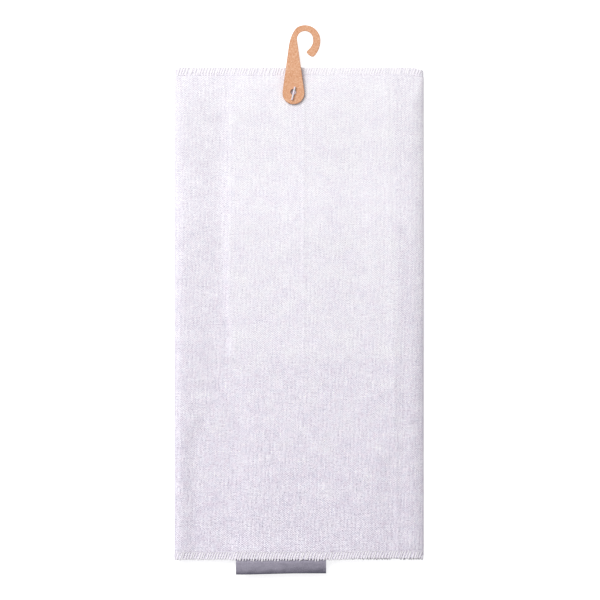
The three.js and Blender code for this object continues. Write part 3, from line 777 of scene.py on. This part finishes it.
def textured_thread():
    """Textured polyester sewing thread, bulky and twisted: soft, with a painted highlight along
    the top of each strand and painted shade on its flanks, a slight gloss and its twist as fine
    slanting lines."""
    finish, tree, shader = new_finish("textured_polyester_thread", 0.75, 0.3)
    axes = find_thread(tree)[1]
    # The real twist turns every 0.35 mm, too fine to show, and is drawn at 0.7 mm
    turns = add_node(tree, "Math", {0: axes["X"], 1: 1 / 0.0007, 2: axes["Y"]},
                     operation="MULTIPLY_ADD")
    twist = wave(tree, turns, 1.0)
    # Painted highlight along the top of each strand, and painted shade down its flanks
    top = wave(tree, axes["Y"], 1.0)
    position = add_node(tree, "TexCoord").outputs["Object"]
    fuzz = add_node(tree, "TexNoise", {"Vector": position, "Scale": 1 / 0.0009, "Detail": 2.0})
    shade = add_up(tree, 0.5, [(twist, 0.0, 0.08), (fuzz, 0.5, 0.8), (top, 0.5, 0.60)])
    tint = add_node(tree, "ValToRGB", {"Fac": shade},
                    stops=[(0.15, "#d3cadd"), (0.5, "#f3edf8"), (0.7, "#fefbff")])
    finish_with(tree, shader, tint, twist, 0.00008, 0.5)
    return finish


def woven_ribbon():
    """Grey woven polyester ribbon with its edges cut by heat: dense fine ribs across it, a low
    sheen, soft clouds of painted sheen, and painted shade towards its crease, where it rolls
    away."""
    finish, tree, shader = new_finish("grey_woven_ribbon", 0.6, 0.4, [("Sheen Weight", 0.1)])
    place, axes = find_thread(tree)
    # The real ribs are 0.2 mm apart and are drawn 0.45 mm apart across and 0.6 mm along
    woven = crossed_waves(tree, axes, 0.00045, 0.0006)
    # Painted sheen: soft clouds, lighter and darker, across the ribbon
    cloudy = blotches(tree, place, 0.006, 0.003, 5.0, 3.0)
    fine = blotches(tree, place, 0.0009, 0.0006, 9.0, 2.0)
    # Painted shade: darker towards the crease, where the ribbon rolls away from the light
    painted_crease_shade = add_node(tree, "Attribute", attribute_name="painted_crease_shade").outputs["Fac"]
    shade = add_up(tree, 0.68, [
        (woven, 0.0, 0.06),
        (cloudy, 0.5, 0.5),
        (fine, 0.5, 0.6),
        (painted_crease_shade, 0.0, -0.78),
    ])
    tint = add_node(tree, "ValToRGB", {"Fac": shade}, stops=[
        (0.0, "#4a4858"), (0.35, "#7b7786"), (0.62, "#9893a3"), (1.0, "#b4afbf")])
    finish_with(tree, shader, tint, woven, 0.00006, 0.4)
    return finish


def kraft_board():
    """Kraft board, die-cut: warm brown, dry and matt, with felted fibres as fine light and dark
    flecks, and painted shade that darkens its rim."""
    finish, tree, shader = new_finish("kraft_board", 0.85, 0.3)
    position = add_node(tree, "TexCoord").outputs["Object"]
    # Real fibres are 0.03 mm thick and 2 mm long, and are drawn 0.5 mm thick
    flecks = blotches(tree, position, 0.0005, 0.0018, 2.0, 2.0)
    crossed = blotches(tree, position, 0.0016, 0.0006, 7.0, 2.0)
    cloudy = blotches(tree, position, 0.007, 0.009, 13.0, 2.0)
    # Painted shade: the board darkens towards its rim
    pressed = add_node(tree, "Attribute", attribute_name="pressed").outputs["Fac"]
    shade = add_up(tree, 0.5, [
        (flecks, 0.5, 1.5),
        (crossed, 0.5, 1.2),
        (cloudy, 0.5, 0.5),
        (pressed, 0.0, -0.9),
    ])
    tint = add_node(tree, "ValToRGB", {"Fac": shade}, stops=[
        (0.0, "#c48a64"), (0.35, "#da9f79"), (0.65, "#e5b18e"), (1.0, "#f3cbac")])
    finish_with(tree, shader, tint, shade, 0.00006, 0.4)
    return finish


def natural_nylon():
    """Natural nylon, injection moulded: milky white with a soft waxy gloss."""
    milky = [("IOR", 1.53), ("Subsurface Weight", 0.15), ("Subsurface Scale", 0.0005)]
    finish, tree, shader = new_finish("natural_nylon", 0.38, 0.5, milky)
    position = add_node(tree, "TexCoord").outputs["Object"]
    cloudy = add_node(tree, "TexNoise", {"Vector": position, "Scale": 1 / 0.0015, "Detail": 2.0})
    tint = add_node(tree, "ValToRGB", {"Fac": cloudy}, stops=[(0.3, "#d2ccd9"), (0.7, "#e6e1eb")])
    finish_with(tree, shader, tint, cloudy, 0.00003, 0.3)
    return finish


# Pieces

def bend_at_mouth(piece):
    """Bakes the piece's placement into its mesh. The front lifts with the mouth's hinge and the
    back stays, but this does not bend the cloth."""
    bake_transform(piece)


def wrap_body_cloth(finish):
    """One cloth wrapped into a flattened tube, with both raw edges inside the back."""
    lip = MOUTH + LIP_INSET
    middle = np.linspace(lip + EDGE_ROWS_END, CLOSED - EDGE_ROWS_END, 166)
    stations = np.hstack([lip + EDGE_ROWS, middle, CLOSED - EDGE_ROWS[::-1]])
    outer, inner, places, backed = [], [], [], []
    for y in stations:
        path, thickness = wrapped_section(y)
        normal = outward(path)
        half = (thickness / 2)[:, None]
        pressed = squeezed(min(y - lip, CLOSED - y))
        skins = path + normal * (half - pressed), path - normal * half
        for grid, skin in zip((outer, inner), skins):
            grid.append(stacked(skin[:, 0], y, skin[:, 1]))
        places.append(stacked(lengths(path), y, 0.0))
        backed.append(backed_share(path[:, 0], y) * (path[:, 1] > bag_height(y) / 2))
    made = sheet_mesh(settle(np.array(outer)), settle(np.array(inner)), np.array(places))
    piece = add_mesh("body_cloth", made, finish)
    add_share(piece, "backed", backed)
    bend_at_mouth(piece)
    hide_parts("front_panel", "back_panel", "back_return", "back_seam")
    return piece


def pocket_bottom(x, y):
    """Height of the pocket cloth's underside."""
    from_middle = np.abs(x - POCKET_MIDDLE)
    inner = (from_middle - POCKET_FLANGE / 2) / POCKET_SHOULDER
    outer = (POCKET_RIGHT - POCKET_MIDDLE - POCKET_FLANGE - from_middle) / POCKET_SHOULDER
    raised = smooth(np.minimum(inner, outer)) * (1 - shallow_share(y))
    slack = SLOT_FILL + ripples(x, y, SLOT_WAVES, 1.3)
    return POCKET_FLOOR + SLOT_HEIGHT * raised * slack


def lay_pocket_cloth(finish):
    """Patch pocket: flat where it is sewn down, raised over its two slots."""
    across = np.linspace(POCKET_LEFT, POCKET_RIGHT, 131)
    along = np.hstack([POCKET_LIP + EDGE_ROWS,
                       np.linspace(POCKET_LIP + EDGE_ROWS_END, SHEET_END, 96)])
    x, y = np.meshgrid(across, along)
    bottom = pocket_bottom(x, y)
    slope = np.gradient(bottom, across, axis=1)
    lean = np.hypot(1, slope)
    thickness = POCKET_CLOTH - squeezed(y - POCKET_LIP)
    lower = stacked(x, y, bottom)
    upper = stacked(x - thickness * slope / lean, y, bottom + thickness / lean)
    # It has a part of the weave of its own
    made = sheet_mesh(upper, lower, stacked(x + 0.5, y + 0.3, 0.0))
    piece = add_mesh("pocket_cloth", made, finish)
    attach(piece, "back")
    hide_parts("pocket_panel")
    return piece


def sew_mouth_overlock(finish):
    """Overlock round the mouth: the front lip, both folds and the back lip."""
    path = wrapped_section(MOUTH + LIP_INSET)[0]
    normal = outward(path)
    # Only the ring, from the middle of the back seam's turn round to the foot of the climb
    ring = slice(ALLOWANCE_POINTS + TURN_POINTS // 2, -CLIMB_POINTS - ALLOWANCE_POINTS)
    path, normal = (path - normal * SQUEEZE / 2)[ring], normal[ring]
    edge = stacked(path[:, 0], MOUTH + LIP_INSET, path[:, 1])
    ups = stacked(normal[:, 0], 0.0, normal[:, 1])
    # The loops reach further down over the label, and are tight where the folds open out
    loops = 0.0005 + 0.0010 * over_label(path[:, 0]) * (path[:, 1] > BAG_HEIGHT / 2)
    from_folds = np.abs(path[:, 1] - FOLD_FLOOR - FOLD_BAND / 2) - FOLD_BAND / 2
    loops = loops * smooth(from_folds / 0.0006)
    made = overlock(edge, ups, np.array([0, 1, 0]), (CLOTH - SQUEEZE) / 2, 21, loops)
    piece = add_mesh("mouth_overlock", made, finish)
    bend_at_mouth(piece)
    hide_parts("front_lip_overlock", "back_lip_overlock")
    return piece


def sew_closed_overlock(finish):
    """Overlock across the closed end, over all its layers."""
    x = np.linspace(LEFT + 0.0004, RIGHT - 0.0004, 300)
    over = np.maximum(LEFT + SEWN_ROLL - x, x - RIGHT + SEWN_ROLL).clip(0) / SEWN_ROLL
    half = (SEWN_HEIGHT / 2 * np.sqrt(1 - over ** 2) - SQUEEZE).clip(0.0001)
    edge = stacked(x, CLOSED, SEWN_HEIGHT / 2)
    made = overlock(edge, UP, np.array([0, -1, 0]), half, 22, loops=0.0003, strand=FLAT_STRAND)
    piece = add_mesh("closed_end_overlock", made, finish)
    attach(piece, "back")
    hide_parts("closing_seam")
    return piece


def sew_pocket_overlock(finish):
    """Overlock along the pocket's lip."""
    x = np.linspace(POCKET_RIGHT, POCKET_LEFT, 240)
    bottom = pocket_bottom(x, POCKET_LIP)
    half = (POCKET_CLOTH - SQUEEZE) / 2
    slope = np.gradient(bottom, x)
    ups = stacked(-slope, 0.0, 1.0) / np.hypot(1, slope)[:, None]
    edge = stacked(x, POCKET_LIP, bottom) + ups * half
    made = overlock(edge, ups, np.array([0, 1, 0]), half, 23, loops=0.0003)
    piece = add_mesh("pocket_lip_stitches", made, finish)
    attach(piece, "back")
    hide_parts("pocket_lip_overlock")
    return piece


def sew_allowance_overlock(finish):
    """Overlock that joins both raw edges of the body cloth, inside the back."""
    y = np.linspace(MOUTH + 0.0008, SHEET_END - 0.004, 300)
    room = np.minimum(ALLOWANCE_HEIGHT, bag_height(y) - 2 * CLOTH - 2 * LAYER_GAP)
    half = (room / 2 - FLAT_STRAND[1]).clip(0.0001)
    edge = stacked(seam_x(y) + ALLOWANCE, y, ALLOWANCE_FLOOR + room / 2)
    made = overlock(edge, UP, np.array([-1, 0, 0]), half, 24, pitch=ROW_PITCH, loops=0.0002,
                    strand=FLAT_STRAND)
    piece = add_mesh("back_seam_overlock", made, finish)
    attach(piece, "back")
    return piece


def sew_row(x, top, tall, seed):
    """A row of straight lockstitches along the bag, each an arch of thread."""
    rng = np.random.default_rng(seed)
    count = int((row_high.y - row_low.y) / ROW_PITCH)
    starts = row_low.y + ROW_PITCH * np.arange(count)[:, None]
    starts = starts + rng.normal(0, 0.00008, (count, 1))
    share = np.linspace(0, 1, 9)
    paths = stacked(x + rng.normal(0, 0.00005, (count, 1)),
                    starts + ROW_PITCH * mix(0.04, 0.96, share),
                    top + tall * (1 - (2 * share - 1) ** 4))
    return thread_mesh(paths, UP, *ROW_THREAD, sides=6)


def sew_pocket_rows(finish):
    """Three rows that sew the pocket to the back, and the same rows seen from behind."""
    flat = POCKET_FLOOR + POCKET_CLOTH
    for seed, (name, x) in enumerate(STITCH_ROWS.items()):
        made = sew_row(x, flat - 0.0002, 0.0004, seed)
        piece = add_mesh(name + "_stitches", made, finish)
        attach(piece, "back")
        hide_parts(name)
        made = sew_row(x, 0.0002, -0.0003, seed + 5)
        piece = add_mesh(name + "_back_stitches", made, finish)
        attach(piece, "back")


def fold_label(finish):
    """Folded ribbon label: both its ends are sewn in under the front lip."""
    upper, lower = label_high.z - RIBBON / 2, label_low.z + RIBBON / 2
    tail_upper, tail_lower = tail_high.z - RIBBON / 2, tail_low.z + RIBBON / 2
    turn = (upper - lower) / 2
    crease = label_low.y + turn + RIBBON / 2
    run = span(tail_high.y - 0.0002, crease, 30)
    rise = smooth((MOUTH + 0.0005 - run) / 0.0018)
    bend = np.radians(span(90, 270, 8))
    y = np.hstack([run, crease + turn * np.cos(bend), run[-2::-1]])
    z = np.hstack([mix(tail_upper, upper, rise), (upper + lower) / 2 + turn * np.sin(bend),
                   mix(tail_lower, lower, rise)[-2::-1]])
    path = stacked(y, z)
    normal = outward(path)
    x = np.linspace(label_low.x, label_high.x, 48)
    hang = label_low.y - label_high.y
    shorter, width = LABEL_CREEP
    creep = shorter * smooth((x - label_low.x) / width)
    skins = []
    for side in (1, -1):
        skin = path + normal * RIBBON / 2 * side
        out = ((skin[:, 0] - label_high.y) / hang).clip(0)[:, None]
        moved = skin[:, 0, None] + out * creep
        raised = skin[:, 1, None] + ripples(x, moved, LABEL_CURL, 2.4) * out
        skins.append(stacked(x, moved, raised))
    along = lengths(path)
    made = sheet_mesh(*skins, stacked(x, along[:, None], 0.0))
    piece = add_mesh("folded_label", made, finish)
    # The painted shade at the crease reaches further up on the right, where the ribbon rolls away
    # more
    reach = mix(*CREASE_REACH, smooth((x - label_low.x) / (label_high.x - label_low.x)))
    painted_crease_shade = np.exp(-np.abs(along - along[-1] / 2)[:, None] / reach)
    add_share(piece, "painted_crease_shade", painted_crease_shade)
    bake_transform(piece)
    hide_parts("loop_label", "label_tail")


def sharp_edges(shape):
    return [edge for edge in shape.edges if edge.calc_face_angle(0) > math.radians(40)]


def rounded_copy(node, name, finish, round_by, corner=0.0, shaded_rim=0.0):
    """A CAD solid with its upright corners and then all its edges rounded over, and its flat
    faces marked near their rims, where a finish can paint shade."""
    shape = bmesh.new()
    shape.from_mesh(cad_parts[node].data)
    pressed = shape.verts.layers.float.new("pressed")
    bmesh.ops.remove_doubles(shape, verts=shape.verts, dist=1e-6)
    bmesh.ops.dissolve_limit(shape, angle_limit=math.radians(1), verts=shape.verts,
                             edges=shape.edges)
    if corner:
        upright = [edge for edge in sharp_edges(shape)
                   if abs((edge.verts[0].co - edge.verts[1].co).normalized().z) > 0.9]
        bmesh.ops.bevel(shape, geom=upright, offset=corner, segments=3, profile=0.5,
                        affect="EDGES", clamp_overlap=True)
    if shaded_rim:
        flats = [face for face in shape.faces if abs(face.normal.z) > 0.99]
        bmesh.ops.inset_region(shape, faces=flats, thickness=shaded_rim, use_even_offset=True,
                               use_boundary=True)
        inner = {vert for face in flats for vert in face.verts}
        # Points round the rim are marked 1, which the kraft finish paints as shade
        for vert in set(shape.verts) - inner:
            vert[pressed] = 1.0
    bmesh.ops.bevel(shape, geom=sharp_edges(shape), offset=round_by, segments=2, profile=0.6,
                    affect="EDGES", clamp_overlap=True)
    bmesh.ops.triangulate(shape, faces=[face for face in shape.faces if len(face.verts) > 4])
    mesh = bpy.data.meshes.new(name)
    shape.to_mesh(mesh)
    shape.free()
    piece = finished(mesh, finish, 35)
    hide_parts(node)
    return piece


# The set

def lay_floor():
    """Plain white floor. The camera sees it lit as far as white, with only a faint shadow, and
    the bag is lit by its plain colour."""
    plain = [("Base Color", colour("#d9d9dd")), ("Emission Color", colour("#ffffff"))]
    finish, tree, shader = new_finish("studio_floor", 0.9, 0.1, plain)
    seen = add_node(tree, "LightPath").outputs["Is Camera Ray"]
    lift = add_node(tree, "Math", {0: seen, 1: FLOOR_LIFT}, operation="MULTIPLY")
    tree.links.new(lift.outputs[0], shader.inputs["Emission Strength"])
    mesh = bpy.data.meshes.new("studio_floor")
    wide, low = 3.0, -0.0004
    mesh.from_pydata([(-wide, -wide, low), (wide, -wide, low), (wide, wide, low),
                      (-wide, wide, low)], [], [(0, 1, 2, 3)])
    mesh.materials.append(finish)
    floor = placed("studio_floor", mesh)


def light_room():
    """Even white room light, which the camera sees as plain white."""
    world = bpy.data.worlds.new("studio")
    bpy.context.scene.world = world
    world.use_nodes = True
    tree = world.node_tree
    rays = add_node(tree, "LightPath").outputs
    seen = rays["Is Camera Ray"]
    for kind in ("Is Glossy Ray", "Is Transmission Ray"):
        seen = add_node(tree, "Math", {0: seen, 1: rays[kind]}, operation="MAXIMUM")
    strength = add_node(tree, "MapRange", {"Value": seen, "To Min": ROOM_LIGHT, "To Max": 1.0})
    backdrop = tree.nodes["Background"]
    backdrop.inputs["Color"].default_value = colour("#ffffff")
    tree.links.new(strength.outputs[0], backdrop.inputs["Strength"])


def light_lamp():
    """A soft box above the closed end, on the left."""
    lamp = bpy.data.lights.new("soft_box", "AREA")
    lamp.shape = "SQUARE"
    lamp.size = LAMP_SIZE
    # Power at which white paper in the middle takes this share of full white
    away = Vector(LAMP).length
    lamp.energy = LAMP_SHARE * math.pi ** 2 * away ** 3 / LAMP[2]
    box = placed("soft_box", lamp)
    box.location = LAMP
    box.rotation_euler = (-Vector(LAMP)).to_track_quat("-Z", "Y").to_euler()


def set_camera():
    """Looks straight down on the bag."""
    lens = bpy.data.cameras.new("camera")
    lens.sensor_width = SENSOR
    lens.lens = SENSOR * CAMERA_HEIGHT / FRAME_WIDTH
    camera = placed("camera", lens)
    camera.location = (*FRAME_CENTRE, CAMERA_HEIGHT)
    bpy.context.scene.camera = camera


set_camera()
light_room()
light_lamp()
lay_floor()

cloth = plain_weave("undyed_slub_cloth")
thread = textured_thread()
body_cloth = wrap_body_cloth(cloth)
pocket_cloth = lay_pocket_cloth(cloth)
mouth_overlock = sew_mouth_overlock(thread)
closed_overlock = sew_closed_overlock(thread)
pocket_overlock = sew_pocket_overlock(thread)
seam_overlock = sew_allowance_overlock(thread)
sew_pocket_rows(thread)
fold_label(woven_ribbon())
hook = rounded_copy("hook_card", "kraft_hook", kraft_board(), round_by=0.00012,
                    corner=0.0007, shaded_rim=0.0004)
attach(hook, "hook")
pin = rounded_copy("tag_pin", "nylon_pin", natural_nylon(), round_by=0.0001)
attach(pin, "front")

# Flat size of the body cloth round the bag
girth = float(lengths(wrapped_section(0.0)[0])[-1])

bpy.context.scene.view_settings.view_transform = "Standard"
